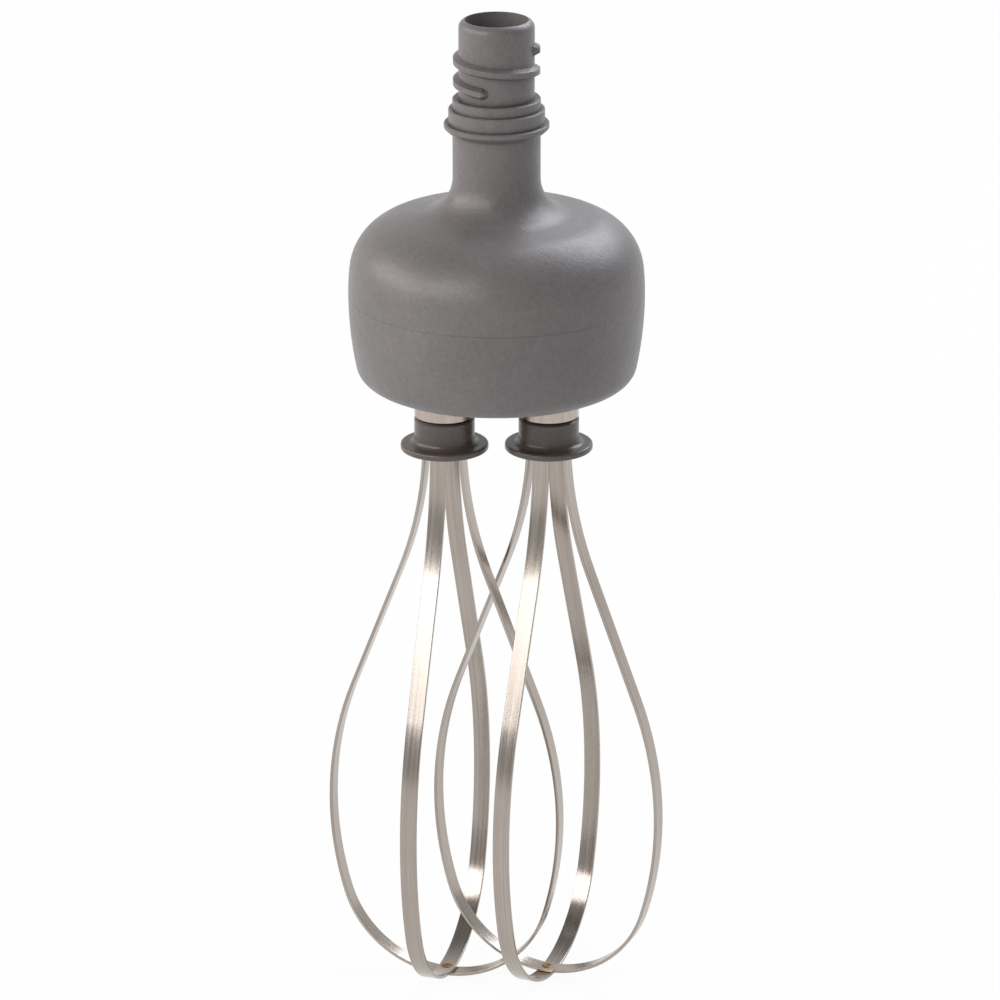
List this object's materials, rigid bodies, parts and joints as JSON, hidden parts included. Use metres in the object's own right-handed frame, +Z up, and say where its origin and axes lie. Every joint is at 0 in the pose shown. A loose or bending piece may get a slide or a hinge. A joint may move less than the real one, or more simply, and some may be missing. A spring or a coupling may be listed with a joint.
{
  "type": "immersion blender whisk attachment",
  "caption": "Double whisk attachment for a stick blender: threaded coupling neck, geared bell housing and counter-turning band whisks on plug-in collars.",
  "frame": {"origin": "on the neck axis, in the plane of the coupling flange's top face", "axes": "+Z up along the neck axis, out of its mouth; +X from the left whisk axis to the right one; the picture is seen from -Y"},
  "size_m": [0.082, 0.0704, 0.2439],
  "materials": {
    "housing_plastic": "satin moulded, fine grain",
    "collar_plastic": "satin moulded",
    "band_steel": "brushed along the strip",
    "bright_steel": "turned and polished",
    "spring_steel": "oiled",
    "screw_steel": "zinc plated",
    "plate_aluminium": "machined",
    "bush_bronze": "sintered",
    "gear_nylon": "moulded",
    "coupling_plastic": "moulded",
    "seal_rubber": "matt"
  },
  "bodies": {
    "housing": {"upper_housing": "housing_plastic", "lower_housing": "housing_plastic", "seam_seal": "seal_rubber", "housing_screws": "screw_steel", "bearing_plate": "plate_aluminium", "input_bearing_outer_race": "bright_steel", "input_bearing_balls": "bright_steel", "input_lower_bush": "bush_bronze", "counter_pin": "bright_steel", "left_upper_bush": "bush_bronze", "left_lower_bush": "bush_bronze", "left_spindle_seal": "seal_rubber", "right_upper_bush": "bush_bronze", "right_lower_bush": "bush_bronze", "right_spindle_seal": "seal_rubber"},
    "input_drive": {"drive_coupling": "coupling_plastic", "input_pinion_shaft": "bright_steel", "input_bearing_inner_race": "bright_steel", "input_shaft_clip": "spring_steel"},
    "counter_drive": {"compound_gear": "gear_nylon"},
    "left_drive": {"left_spindle": "bright_steel", "left_output_gear": "gear_nylon", "left_spindle_clip": "spring_steel", "left_whisk_shank": "bright_steel", "left_whisk_ring": "spring_steel", "left_whisk_collar": "collar_plastic", "left_whisk_inner_band": "band_steel", "left_whisk_outer_band": "band_steel"},
    "right_drive": {"right_spindle": "bright_steel", "right_output_gear": "gear_nylon", "right_spindle_clip": "spring_steel", "right_whisk_shank": "bright_steel", "right_whisk_ring": "spring_steel", "right_whisk_collar": "collar_plastic", "right_whisk_inner_band": "band_steel", "right_whisk_outer_band": "band_steel"}
  },
  "joints": [
    {"name": "right_spin", "type": "hinge", "parent": "housing", "child": "right_drive", "pos_m": [0.0125, 0, -0.05], "axis": [0, 0, 1], "continuous": true},
    {"name": "left_spin", "type": "hinge", "parent": "housing", "child": "left_drive", "pos_m": [-0.0125, 0, -0.05], "axis": [0, 0, 1], "continuous": true},
    {"name": "counter_spin", "type": "hinge", "parent": "housing", "child": "counter_drive", "pos_m": [0.00293, 0.01583, -0.05], "axis": [0, 0, 1], "continuous": true},
    {"name": "input_spin", "type": "hinge", "parent": "housing", "child": "input_drive", "pos_m": [0, 0, -0.05], "axis": [0, 0, 1], "continuous": true}
  ],
  "couplings": [
    {"joint": "left_spin", "follows": "right_spin", "ratio": -1},
    {"joint": "counter_spin", "follows": "right_spin", "ratio": -2.0833},
    {"joint": "input_spin", "follows": "right_spin", "ratio": 7.5}
  ]
}
